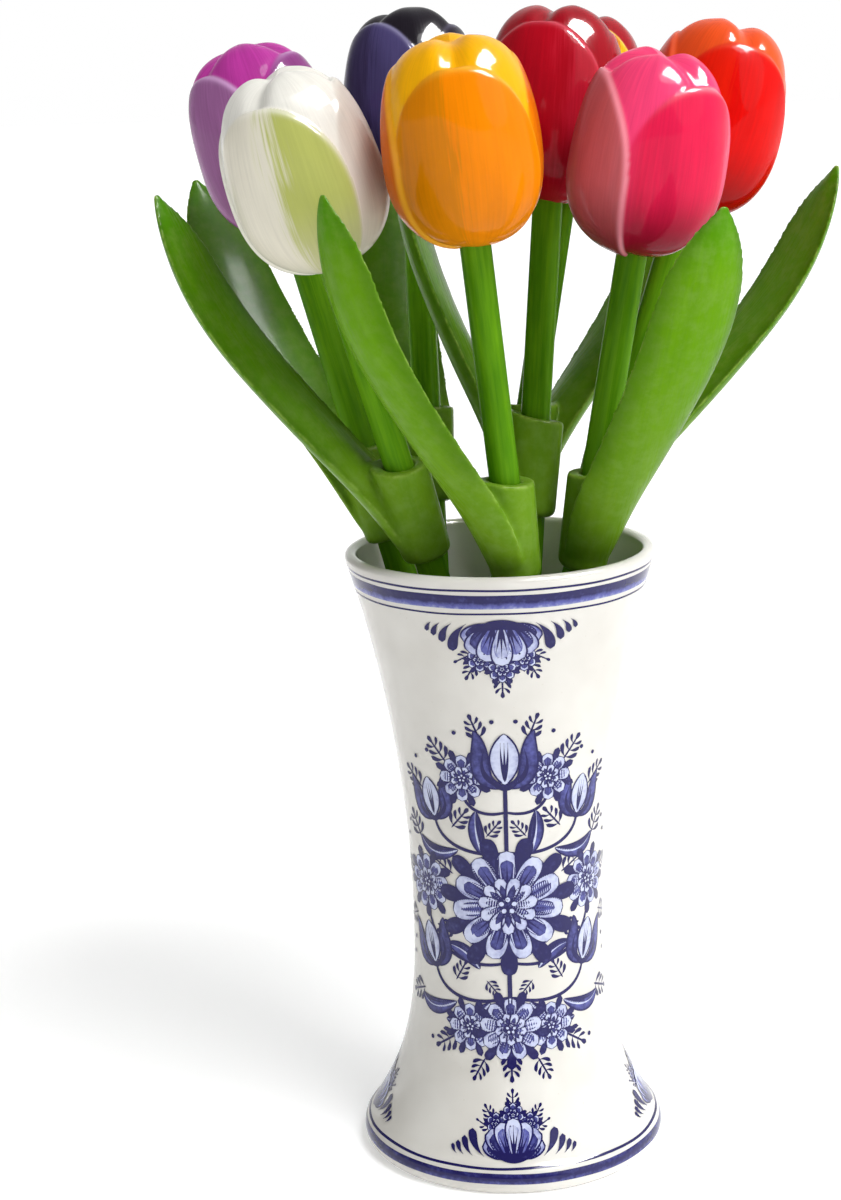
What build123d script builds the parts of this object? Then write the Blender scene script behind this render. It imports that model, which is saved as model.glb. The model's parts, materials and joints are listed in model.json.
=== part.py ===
from build123d import *
from math import atan, hypot, sin
from typing import NamedTuple
import os

# Eight painted wooden tulips standing loose in a glazed vase. Sizes in mm, +Z up.
# The origin is on the vase's axis, on the surface that the vase stands on.

# Vase: trumpet mouth, narrow waist, flared skirt with a rounded toe, recessed underside
VASE_HEIGHT = 190.0
RIM_RADIUS = 47.2
WAIST_RADIUS = 29.5
WAIST_HEIGHT = 76.0
TRUMPET_POWER = 1.95
SKIRT_POWER = 3.0
FOOT_RADIUS = 44.6
TOE_RADIUS = 47.0
TOE_HEIGHT = 9.0
FOOT_RING_WIDTH = 7.0
FOOT_RECESS = 2.0
FLOOR_THICKNESS = 6.0
FLOOR_CORNER = 4.0
WALL = 3.8
LIP_ROUND = 1.8
WALL_POINTS = 9

# Tulip head: a turned bulb, three outer petals in relief, three inner petals as its crown
HEAD_LENGTH = 56.5
HEAD_RADIUS = 22.5
BELLY_HEIGHT = 22.5
CROWN_RADIUS = 16.2
CROWN_HEIGHT = 48.5
UNDERSIDE_RADIUS = 6.0
PETALS = 3
PETAL_RELIEF = 1.3
PETAL_HEIGHT = 50.0
PETAL_HALF_WIDTH = 19.0
PETAL_BROADEST = 20.0
PETAL_SHOULDER_HALF_WIDTH = 14.6
PETAL_SHOULDER_DROP = 10.0
PETAL_ROOT_HALF_WIDTH = 8.0
GROOVE_RADIUS = 7.0
GROOVE_DEPTH = 3.0
GROOVE_SLOPE = 24.0

# Stem: a dowel glued into a blind hole in the head
STEM_RADIUS = 4.4
STEM_IN_HEAD = 20.0
STEM_CHAMFER = 0.8
GLUE_GAP = 0.05
HOLE_END_GAP = 0.5

# Leaf: a bored, tapered boss glued on the stem, its face running on into a trough-shaped blade
BOSS_FOOT_RADIUS = 7.4
BOSS_RADIUS = 8.6
BOSS_LIP_HEIGHT = 28.5
BOSS_BACK_HEIGHT = 32.0
BOSS_ROUND = 2.5
LEAF_LENGTH = 123.0
LEAF_REACH = 47.5
LEAF_HALF_WIDTH = 13.4
LEAF_THICKNESS = 7.5
LEAF_EDGE = 1.8
LEAF_TROUGH = 0.42

# The blade's carving stations, as shares of its length, reach, width and thickness
BLADE_STATIONS = (
    (0.025, 0.15, 0.50, 0.80),
    (0.09, 0.21, 0.67, 1.05),
    (0.20, 0.33, 0.79, 1.30),
    (0.33, 0.51, 0.87, 1.30),
    (0.48, 0.71, 0.94, 1.08),
    (0.62, 0.87, 1.00, 0.94),
    (0.76, 0.97, 0.99, 0.82),
    (0.87, 1.00, 0.81, 0.66),
    (0.95, 1.00, 0.45, 0.45),
    (1.00, 0.985, 0.09, 0.16),
)

# How the tulips stand: the end of each stem lies just clear of the vase floor
FLOOR_GAP = 0.3


class Tulip(NamedTuple):
    """Where one tulip stands and how it is turned."""

    foot: tuple  # where the stem's end stands on the vase floor (x, y)
    mouth: tuple  # where the stem passes the mouth of the vase (x, y)
    boss_rise: float  # height of the leaf's lower end over the mouth
    boss_to_head: float  # along the stem, from the leaf's lower end to the head
    leaf_turn: float  # way the leaf points, degrees about Z from +X
    petal_turn: float  # way one outer petal faces, degrees about Z from +X


TULIPS = {
    "orange": Tulip((22, -3), (4.5, -28), -4, 100, 216, 272),
    "pink": Tulip((-3.5, 25), (25.5, -6.5), -6, 98, 294, 310),
    "white": Tulip((28, 12.5), (-21, -14), 0, 92, 163, 245),
    "crimson": Tulip((-5.5, -27), (8.8, -3.5), 9, 94, 169, 250),
    "purple": Tulip((18.5, -15), (-32, 3.5), 2, 97, 129, 215),
    "dark": Tulip((-15.5, -24.5), (-20.5, 23.5), 9, 98, 106, 225),
    "red": Tulip((-28.5, 7), (27.5, 16), 4, 98, 21, 285),
    "yellow": Tulip((-28, -11.5), (4.5, 30.5), 8, 97, 35, 270),
}

FLOOR_TOP = FOOT_RECESS + FLOOR_THICKNESS


def flare_radius(height):
    """Outer radius of the vase wall: a trumpet above the waist, a skirt below it."""
    if height > WAIST_HEIGHT:
        share = (height - WAIST_HEIGHT) / (VASE_HEIGHT - WAIST_HEIGHT)
        return WAIST_RADIUS + (RIM_RADIUS - WAIST_RADIUS) * share**TRUMPET_POWER
    share = (WAIST_HEIGHT - height) / (WAIST_HEIGHT - TOE_HEIGHT)
    return WAIST_RADIUS + (FOOT_RADIUS - WAIST_RADIUS) * share**SKIRT_POWER


def wall_curve(bottom, top, inset):
    """Points up the vase wall, from bottom to top, a given depth inside its outer face."""
    step = (top - bottom) / (WALL_POINTS - 1)
    heights = [bottom + step * place for place in range(WALL_POINTS)]
    return [(flare_radius(height) - inset, height) for height in heights]


def half_bulb(swell):
    """Closed half outline of a head, swollen outwards: underside, belly, crown and axis."""
    girth = HEAD_RADIUS - PETAL_RELIEF + swell
    top = HEAD_LENGTH + swell
    Line((0, 0), (UNDERSIDE_RADIUS, 0))
    Spline((UNDERSIDE_RADIUS, 0), (girth, BELLY_HEIGHT), tangents=((1, 0.25), (0, 1)))
    Spline(
        (girth, BELLY_HEIGHT),
        (CROWN_RADIUS + swell, CROWN_HEIGHT),
        (0, top),
        tangents=((0, 1), (-1, 0)),
    )
    Line((0, top), (0, 0))


def seat(point, axis, turn):
    """Location with +Z along a stem and +X towards the given turn about the vertical."""
    facing = Vector(1, 0, 0).rotate(Axis.Z, turn)
    across = facing - axis * facing.dot(axis)
    return Plane(origin=point, x_dir=across, z_dir=axis).location


def keep(piece, label):
    """Label a finished piece and write it."""
    piece.label = label
    export_step(piece, f"parts/{label}.step")


os.makedirs("parts", exist_ok=True)

# Vase
with BuildPart() as vase:
    with BuildSketch(Plane.XZ):
        lip_height = VASE_HEIGHT - LIP_ROUND
        corner_height = FLOOR_TOP + FLOOR_CORNER
        outer = wall_curve(TOE_HEIGHT, lip_height, 0)
        inner = wall_curve(corner_height, lip_height, WALL)
        ring_inside = FOOT_RADIUS - FOOT_RING_WIDTH
        with BuildLine():
            Polyline(
                (0, FLOOR_TOP),
                (0, FOOT_RECESS),
                (ring_inside - FOOT_RECESS, FOOT_RECESS),
                (ring_inside, 0),
                (FOOT_RADIUS, 0),
            )
            ThreePointArc((FOOT_RADIUS, 0), (TOE_RADIUS, TOE_HEIGHT / 2), outer[0])
            Spline(*outer)
            lip_middle = (outer[-1][0] + inner[-1][0]) / 2
            ThreePointArc(outer[-1], (lip_middle, VASE_HEIGHT), inner[-1])
            Spline(*inner)
            floor_edge = inner[0][0] - FLOOR_CORNER
            TangentArc((floor_edge, FLOOR_TOP), inner[0], tangent=(1, 0))
            Line((floor_edge, FLOOR_TOP), (0, FLOOR_TOP))
        make_face()
    revolve(axis=Axis.Z)
keep(vase.part, "vase")

# One outer petal: the part of a swollen bulb inside a petal's outline
with BuildPart() as petal:
    with BuildSketch(Plane.XZ):
        with BuildLine():
            half_bulb(PETAL_RELIEF)
        make_face()
    revolve(axis=Axis.Z)
    with BuildSketch(Plane.YZ):
        with BuildLine():
            petal_edge = Spline(
                (PETAL_ROOT_HALF_WIDTH, 0),
                (PETAL_HALF_WIDTH, PETAL_BROADEST),
                (PETAL_SHOULDER_HALF_WIDTH, PETAL_HEIGHT - PETAL_SHOULDER_DROP),
                (0, PETAL_HEIGHT),
                tangents=((1, 1), (-1, 0)),
            )
            mirror(petal_edge, about=Plane.YZ)
            Line((-PETAL_ROOT_HALF_WIDTH, 0), (PETAL_ROOT_HALF_WIDTH, 0))
        make_face()
    extrude(amount=HEAD_RADIUS + PETAL_RELIEF, mode=Mode.INTERSECT)

# Head: the bulb, three grooves that part the crown's lobes, the petals and the stem hole
with BuildPart() as head:
    with BuildSketch(Plane.XZ):
        with BuildLine():
            half_bulb(0)
        make_face()
    revolve(axis=Axis.Z)
    groove_start = (0, 0, HEAD_LENGTH + GROOVE_RADIUS - GROOVE_DEPTH)
    with Locations(groove_start):
        Sphere(GROOVE_RADIUS, mode=Mode.SUBTRACT)
    with PolarLocations(0, PETALS):
        with Locations(Location(groove_start, (0, 90 + GROOVE_SLOPE, 0))):
            Cylinder(
                GROOVE_RADIUS,
                HEAD_LENGTH,
                align=(Align.CENTER, Align.CENTER, Align.MIN),
                mode=Mode.SUBTRACT,
            )
    with PolarLocations(0, PETALS):
        add(petal.part)
    with BuildSketch(Plane.XY):
        Circle(STEM_RADIUS + GLUE_GAP)
    extrude(amount=STEM_IN_HEAD + HOLE_END_GAP, mode=Mode.SUBTRACT)

# Blade of a leaf: lofted through crescents that lean out from the stem and narrow to a tip
with BuildPart() as blade:
    for length_share, reach_share, width_share, thickness_share in BLADE_STATIONS:
        half_width = LEAF_HALF_WIDTH * width_share
        back = LEAF_REACH * reach_share
        edge = back - half_width * LEAF_TROUGH * 2 * (1 - reach_share / 2)
        trough = back - LEAF_THICKNESS * thickness_share
        rim = min(LEAF_EDGE, half_width / 2)
        with BuildSketch(Plane.XY.offset(LEAF_LENGTH * length_share)):
            with BuildLine():
                ThreePointArc((edge, -half_width), (back, 0), (edge, half_width))
                Line((edge, half_width), (edge, half_width - rim))
                ThreePointArc((edge, half_width - rim), (trough, 0), (edge, rim - half_width))
                Line((edge, rim - half_width), (edge, -half_width))
            make_face()
    loft()

# Leaf: the boss is scooped from its front lip up to its back, where the blade rises
with BuildPart() as leaf:
    Cone(BOSS_FOOT_RADIUS, BOSS_RADIUS, BOSS_BACK_HEIGHT, align=(Align.CENTER, Align.CENTER, Align.MIN))
    fillet(leaf.edges().group_by(Axis.Z)[0], BOSS_ROUND)
    with BuildSketch(Plane.XZ):
        front = -BOSS_RADIUS - BOSS_ROUND
        with BuildLine():
            TangentArc((front, BOSS_LIP_HEIGHT), (BOSS_RADIUS, BOSS_BACK_HEIGHT), tangent=(1, 0))
            Polyline(
                (BOSS_RADIUS, BOSS_BACK_HEIGHT),
                (BOSS_RADIUS, BOSS_BACK_HEIGHT + BOSS_ROUND),
                (front, BOSS_BACK_HEIGHT + BOSS_ROUND),
                (front, BOSS_LIP_HEIGHT),
            )
        make_face()
    extrude(amount=2 * BOSS_RADIUS, both=True, mode=Mode.SUBTRACT)
    add(blade.part)
    with BuildSketch(Plane.XY):
        Circle(STEM_RADIUS + GLUE_GAP)
    extrude(amount=LEAF_LENGTH, mode=Mode.SUBTRACT)

for name, tulip in TULIPS.items():
    mouth_rise = VASE_HEIGHT - FLOOR_TOP
    run = hypot(tulip.mouth[0] - tulip.foot[0], tulip.mouth[1] - tulip.foot[1])
    lean = atan(run / mouth_rise)
    foot_height = FLOOR_TOP + FLOOR_GAP + (STEM_RADIUS - STEM_CHAMFER) * sin(lean)
    foot = Vector(*tulip.foot, foot_height)
    mouth = Vector(*tulip.mouth, VASE_HEIGHT)
    axis = (mouth - foot).normalized()
    boss_place = foot + axis * ((VASE_HEIGHT + tulip.boss_rise - foot_height) / axis.Z)
    head_place = boss_place + axis * tulip.boss_to_head

    with BuildPart() as stem:
        stem_length = (head_place - foot).length + STEM_IN_HEAD
        Cylinder(STEM_RADIUS, stem_length, align=(Align.CENTER, Align.CENTER, Align.MIN))
        chamfer(stem.edges().group_by(Axis.Z)[0], STEM_CHAMFER)
        chamfer(stem.edges().group_by(Axis.Z)[-1], STEM_CHAMFER)

    keep(stem.part.moved(seat(foot, axis, tulip.leaf_turn)), f"{name}_stem")
    keep(leaf.part.moved(seat(boss_place, axis, tulip.leaf_turn)), f"{name}_leaf")
    keep(head.part.moved(seat(head_place, axis, tulip.petal_turn)), f"{name}_head")
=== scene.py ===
import json
import math

import bpy
import numpy as np
from mathutils import Matrix, Vector


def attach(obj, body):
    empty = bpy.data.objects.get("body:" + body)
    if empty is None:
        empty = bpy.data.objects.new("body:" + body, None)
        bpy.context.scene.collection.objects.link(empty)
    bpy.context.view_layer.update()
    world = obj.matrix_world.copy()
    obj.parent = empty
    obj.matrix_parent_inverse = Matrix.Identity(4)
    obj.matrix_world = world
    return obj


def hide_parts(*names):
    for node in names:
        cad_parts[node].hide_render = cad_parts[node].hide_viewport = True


# Eight painted wooden tulips in a glazed vase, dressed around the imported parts.
# Sizes are millimetres, and meshes are written in metres.
MM = 0.001

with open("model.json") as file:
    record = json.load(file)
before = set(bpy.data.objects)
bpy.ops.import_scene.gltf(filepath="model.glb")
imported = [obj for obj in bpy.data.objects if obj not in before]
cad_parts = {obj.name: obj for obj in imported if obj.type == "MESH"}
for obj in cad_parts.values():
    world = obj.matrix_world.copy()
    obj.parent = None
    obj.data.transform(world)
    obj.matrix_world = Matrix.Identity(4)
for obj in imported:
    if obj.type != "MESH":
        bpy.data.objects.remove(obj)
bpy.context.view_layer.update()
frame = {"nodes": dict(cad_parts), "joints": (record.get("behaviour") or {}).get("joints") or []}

# Vase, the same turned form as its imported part
VASE_HEIGHT = 190.0
RIM_RADIUS = 47.2
WAIST_RADIUS = 29.5
WAIST_HEIGHT = 76.0
TRUMPET_POWER = 1.95
SKIRT_POWER = 3.0
FOOT_RADIUS = 44.6
TOE_RADIUS = 47.0
TOE_HEIGHT = 9.0
FOOT_RING_WIDTH = 7.0
FOOT_RECESS = 2.0
FLOOR_TOP = 8.0
FLOOR_CORNER = 4.0
WALL = 3.8
LIP_ROUND = 1.8
VASE_COLUMNS = 224
TOE_ROWS = 14
WALL_ROWS = 92
LIP_ROWS = 12
INSIDE_ROWS = 60
CORNER_ROWS = 7

# Tulip heads: a bulb with three outer petals that overlap like a pinwheel
HEAD_LENGTH = 56.5
BULB_RADIUS = 21.2
BELLY_HEIGHT = 22.5
CROWN_RADIUS = 16.2
CROWN_HEIGHT = 48.5
UNDERSIDE_RADIUS = 6.0
PETALS = 3
PETAL_HEIGHT = 50.0
PETAL_BROADEST = 20.0
PETAL_HALF_ANGLE = math.radians(65)
PETAL_ROUNDNESS = 2.3
PETAL_RELIEF = 1.35
PETAL_STEP = 1.5
PETAL_TILT = 0.46
EDGE_LINE = 0.8
GROOVE_WIDTH = 3.6
GROOVE_DEPTH = 2.6
CARVING_DEPTH = 0.14
HEAD_ROWS = 180
HEAD_COLUMNS = 300

# Tool marks on a head: waves round it, share of the carving depth, and lean along it in radians per mm
CARVING_WAVES = ((3, 1.0, 0.11), (5, 0.7, -0.16), (9, 0.5, 0.21))

# Way one outer petal of each head faces, degrees about Z from +X
PETAL_TURN = {
    "orange": 272, "pink": 310, "white": 245, "crimson": 250,
    "purple": 215, "dark": 225, "red": 285, "yellow": 270,
}

# Leaves and stems
LEAF_VOXEL = 0.52
LEAF_SEED_STEP = 3.7
STEM_SEED_STEP = 2.3
STEM_RADIUS = 4.4
STEM_CHAMFER = 0.8
STEM_SIDES = 48
STEM_RINGS = 80
STEM_END_RINGS = 3
STEM_SHARP_ANGLE = math.radians(40)

# Smoothing passes of a leaf: the share of the way that each point goes to the mean of its neighbours
LEAF_ROUNDING = (0.5,) * 9
LEAF_SANDING = (0.6, -0.63) * 36

# Brightness of the room in front of the vase and behind it, its lean to the right, and the floor
ROOM_FRONT = 0.24
ROOM_BACK = 1.0
ROOM_TO_RIGHT = 0.8
FLOOR_WHITE = 0.78
FLOOR_GLOW = 0.35

# Stage, in metres
HEADS_MIDDLE = Vector((0, 0, 0.32))
GLOSS_BOX_DISTANCE = 1.3
FLOOR_REACH = 12.0

# Camera, its place in metres, fitted to the circles of the vase's rim and foot
CAMERA_PLACE = Vector((0.0, -0.700, 0.33621))
CAMERA_YAW = math.radians(-1.979)
CAMERA_PITCH = math.radians(13.072)
CAMERA_ROLL = math.radians(-1.858)
CAMERA_LENS = 71.18
SENSOR_LONG_SIDE = 36.0


def smoothstep(low, high, value):
    """0 below low, 1 above high and a smooth rise between."""
    share = np.clip((value - low) / (high - low), 0, 1)
    return share * share * (3 - 2 * share)


def bezier(controls, shares):
    """Points of a Bezier curve with any number of control points."""
    controls = np.asarray(controls, float)
    shares = np.asarray(shares, float)[:, None]
    degree = len(controls) - 1
    points = 0
    for place, control in enumerate(controls):
        weight = math.comb(degree, place) * shares**place * (1 - shares) ** (degree - place)
        points = points + weight * control
    return points


def evenly(points, count):
    """The same line with its points spaced evenly along it."""
    steps = np.linalg.norm(np.diff(points, axis=0), axis=1)
    length = np.concatenate([[0], np.cumsum(steps)])
    wanted = np.linspace(0, length[-1], count)
    return np.stack([np.interp(wanted, length, column) for column in points.T], axis=1)


def new_object(name, data):
    """An object in the scene that holds the given data."""
    item = bpy.data.objects.new(name, data)
    bpy.context.scene.collection.objects.link(item)
    return item


def add_layers(mesh, layers):
    """Keep each layer of values as a float attribute of the mesh's points, for the paints to read."""
    for layer, values in layers.items():
        attribute = mesh.attributes.new(layer, "FLOAT", "POINT")
        attribute.data.foreach_set("value", np.asarray(values, np.float32).ravel())


def new_piece(name, points, faces, layers, material):
    """A smooth mesh object from points in mm, with one float attribute for each layer."""
    mesh = bpy.data.meshes.new(name)
    mesh.from_pydata((np.asarray(points) * MM).tolist(), [], faces)
    mesh.shade_smooth()
    add_layers(mesh, layers)
    mesh.materials.append(material)
    return new_object(name, mesh)


def settle(piece, body, slot, *nodes):
    """Put a finished piece on its body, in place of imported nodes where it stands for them."""
    if nodes:
        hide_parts(*nodes)
    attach(piece, body)


def turned(radius, turn, height):
    """Points about the Z axis, from their radius, their turn in radians and their height."""
    radius, turn, height = np.broadcast_arrays(radius, turn, height)
    return np.stack([radius * np.cos(turn), radius * np.sin(turn), height], axis=-1)


def turned_faces(rows, columns):
    """Quads of a grid that closes round, with a pole before its first row and after its last."""
    first = 1
    last = first + rows * columns
    faces = []
    for column in range(columns):
        beside = (column + 1) % columns
        faces.append((0, first + beside, first + column))
        for row in range(rows - 1):
            here = first + row * columns
            above = here + columns
            faces.append((here + column, here + beside, above + beside, above + column))
        top = last - columns
        faces.append((last, top + column, top + beside))
    return faces


def evaluated_mesh(piece):
    """The mesh of an object with its modifiers applied."""
    graph = bpy.context.evaluated_depsgraph_get()
    return bpy.data.meshes.new_from_object(piece.evaluated_get(graph))


def mesh_array(items, field, width, kind=float):
    """One field of a mesh's vertices or edges as rows."""
    values = np.empty(len(items) * width, kind)
    items.foreach_get(field, values)
    return values.reshape(-1, width)


# Node helpers


class Tree:
    """Adds nodes to one tree: plain values are set, and sockets are linked."""

    def __init__(self, tree):
        self.tree = tree

    def feed(self, node, sockets):
        for key, value in sockets.items():
            if isinstance(value, bpy.types.NodeSocket):
                self.tree.links.new(value, node.inputs[key])
            else:
                node.inputs[key].default_value = value
        return node

    def add(self, kind, sockets=None, **settings):
        node = self.tree.nodes.new(kind)
        for key, value in settings.items():
            setattr(node, key, value)
        return self.feed(node, sockets or {})

    def math(self, operation, *values):
        return self.add("ShaderNodeMath", dict(enumerate(values)), operation=operation).outputs[0]

    def times(self, first, second):
        return self.math("MULTIPLY", first, second)

    def mix(self, factor, first, second, blend="MIX"):
        sockets = {0: factor, 6: first, 7: second}
        return self.add("ShaderNodeMix", sockets, data_type="RGBA", blend_type=blend).outputs[2]

    def tint(self, color, mask, amount, paint):
        return self.mix(self.times(mask, amount), color, paint)

    def band(self, value, low, high):
        sockets = {"Value": value, "From Min": low, "From Max": high}
        return self.add("ShaderNodeMapRange", sockets, interpolation_type="SMOOTHSTEP").outputs[0]

    def between(self, value, low, high):
        sockets = {"Value": value, "To Min": low, "To Max": high}
        return self.add("ShaderNodeMapRange", sockets).outputs[0]

    def bump(self, height, strength, distance):
        sockets = {"Height": height, "Strength": strength, "Distance": distance}
        return self.add("ShaderNodeBump", sockets).outputs[0]

    def vector(self, x, y, z):
        return self.add("ShaderNodeCombineXYZ", {0: x, 1: y, 2: z}).outputs[0]

    def parts(self, vector):
        return self.add("ShaderNodeSeparateXYZ", {0: vector}).outputs

    def noise(self, vector, scale, detail, roughness=0.5):
        sockets = {"Vector": vector, "Scale": scale, "Detail": detail, "Roughness": roughness}
        return self.add("ShaderNodeTexNoise", sockets).outputs["Fac"]

    def attribute(self, name):
        return self.add("ShaderNodeAttribute", attribute_name=name).outputs["Fac"]

    def object_place(self):
        return self.add("ShaderNodeTexCoord").outputs["Object"]

    def group(self, tree, sockets):
        return self.add("ShaderNodeGroup", sockets, node_tree=tree).outputs


def new_group(name, inputs, outputs, kind="ShaderNodeTree"):
    """An empty node group with named sockets: its helper, its inputs and its output node."""
    group = bpy.data.node_groups.new(name, kind)
    for way, sockets in (("INPUT", inputs), ("OUTPUT", outputs)):
        for socket, socket_kind in sockets.items():
            group.interface.new_socket(socket, in_out=way, socket_type=socket_kind)
    make = Tree(group)
    return make, make.add("NodeGroupInput").outputs, make.add("NodeGroupOutput")


def new_material(name):
    """An empty material: its helper and its Principled shader, linked to the output."""
    material = bpy.data.materials.new(name)
    material.use_nodes = True
    material.node_tree.nodes.clear()
    make = Tree(material.node_tree)
    shader = make.add("ShaderNodeBsdfPrincipled")
    make.add("ShaderNodeOutputMaterial", {"Surface": shader.outputs[0]})
    return material, make, shader


def srgb(red, green, blue):
    """A colour given as it shows on a screen, 0 to 255, as the linear colour that shaders take."""
    shown = np.array([red, green, blue]) / 255
    linear = np.where(shown <= 0.04045, shown / 12.92, ((shown + 0.055) / 1.055) ** 2.4)
    return (*linear, 1.0)


def grey(level):
    """A shader colour between black (0) and white (1)."""
    return (level, level, level, 1.0)


FLOAT, COLOR, VECTOR = "NodeSocketFloat", "NodeSocketColor", "NodeSocketVector"
PETAL_LETTERS = "ABC"


def build_brush_group():
    """Streaks that a paint brush leaves along the work, and the faint ridges that go with them."""
    inputs = dict.fromkeys(("Across", "Along", "Seed", "Fineness"), FLOAT)
    make, given, out = new_group("brush_streaks", inputs, {"Streak": FLOAT, "Ridge": FLOAT})

    def stretched(across, along):
        return make.vector(
            make.times(given["Across"], across),
            make.times(given["Along"], along),
            given["Seed"],
        )

    fine = make.noise(stretched(given["Fineness"], 0.045), 1.0, 3.0, 0.6)
    broad = make.noise(stretched(0.16, 0.035), 1.0, 2.0)
    streak = make.math("ADD", make.times(fine, 0.55), make.times(broad, 0.45))
    make.feed(out, {"Streak": make.band(streak, 0.32, 0.68), "Ridge": fine})
    return make.tree


def build_petal_group():
    """Paint of a head: three petals, a crown, a brushed second colour, painted shade at the foot and
    pale edges.
    """
    masks = [f"Petal {letter} Mask" for letter in PETAL_LETTERS]
    amounts = ("Brushed From", "Brushed To", "Brushed Amount", "Foot Amount", "Edge Amount", "Contrast")
    colors = ("Petal A", "Petal B", "Petal C", "Crown", "Brushed", "Foot", "Pale Edge")
    inputs = dict.fromkeys((*masks, "Side", "Rise", "Edge", "Streak", *amounts), FLOAT)
    inputs |= dict.fromkeys(colors, COLOR)
    make, given, out = new_group("petal_paint", inputs, {"Color": COLOR})
    paint = given["Crown"]
    for letter in PETAL_LETTERS:
        paint = make.mix(given[f"Petal {letter} Mask"], paint, given[f"Petal {letter}"])
    wander = make.math("MULTIPLY_ADD", given["Streak"], 0.3, make.math("SUBTRACT", given["Side"], 0.15))
    brushed = make.times(
        make.band(wander, given["Brushed From"], make.math("ADD", given["Brushed From"], 0.28)),
        make.band(wander, given["Brushed To"], make.math("SUBTRACT", given["Brushed To"], 0.16)),
    )
    brushed = make.times(brushed, given["Petal A Mask"])
    paint = make.tint(paint, brushed, given["Brushed Amount"], given["Brushed"])
    # Painted shade: the head darkens towards its underside in the foot colour.
    paint = make.tint(paint, make.band(given["Rise"], 0.42, 0.0), given["Foot Amount"], given["Foot"])
    tone = make.math("MULTIPLY_ADD", make.math("SUBTRACT", given["Streak"], 0.5), given["Contrast"], 1.0)
    paint = make.mix(1.0, paint, make.vector(tone, tone, tone), "MULTIPLY")
    paint = make.tint(paint, given["Edge"], given["Edge Amount"], given["Pale Edge"])
    make.feed(out, {"Color": paint})
    return make.tree


def build_ridge_highlight_group():
    """Mask of the convex ridges that get a painted highlight, broken up by a fine noise."""
    inputs = {"Ridge": FLOAT, "Place": VECTOR, "Amount": FLOAT}
    make, given, out = new_group("painted_ridge_highlights", inputs, {"Mask": FLOAT})
    broken = make.band(make.noise(given["Place"], 420.0, 4.0), 0.34, 0.62)
    highlight = make.times(make.times(given["Ridge"], broken), given["Amount"])
    make.feed(out, {"Mask": highlight})
    return make.tree


BRUSH_STREAKS = build_brush_group()
PETAL_PAINT = build_petal_group()
RIDGE_HIGHLIGHTS = build_ridge_highlight_group()

# Lacquers: least and most roughness of the brush marks, their relief, and the clear coat
HEAD_LACQUER = dict(smooth=0.16, rough=0.3, relief=0.12, coat=0.18, coat_roughness=0.04)
LEAF_LACQUER = dict(smooth=0.2, rough=0.36, relief=0.12, coat=0.03, coat_roughness=0.12)
STEM_LACQUER = dict(smooth=0.18, rough=0.32, relief=0.1, coat=0.03, coat_roughness=0.12)
LACQUER_SPECULAR = 0.02
BRUSH_MARK_HEIGHT = 0.4
GLAZE_ROUGHNESS = (0.08, 0.2)
GLAZE_RIPPLE_HEIGHT = 0.6
GLAZE_SPECULAR = 0.25
GLAZE_COAT = 0.2
GLAZE_COAT_ROUGHNESS = 0.03


def brushed_on(make, seed, fineness):
    """Streaks and ridges of the brush, laid out by the piece's own layers."""
    layers = {"Across": make.attribute("across"), "Along": make.attribute("along")}
    return make.group(BRUSH_STREAKS, {**layers, "Seed": seed, "Fineness": fineness})


def finish_lacquer(make, shader, color, ridge, smooth, rough, relief, coat, coat_roughness):
    """Glossy brushed lacquer: a clear coat over paint whose gloss and relief follow the brush."""
    make.feed(shader, {
        "Base Color": color,
        "Roughness": make.between(ridge, smooth, rough),
        "Normal": make.bump(ridge, relief, BRUSH_MARK_HEIGHT * MM),
        "Specular IOR Level": LACQUER_SPECULAR,
        "Coat Weight": coat,
        "Coat Roughness": coat_roughness,
    })
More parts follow.
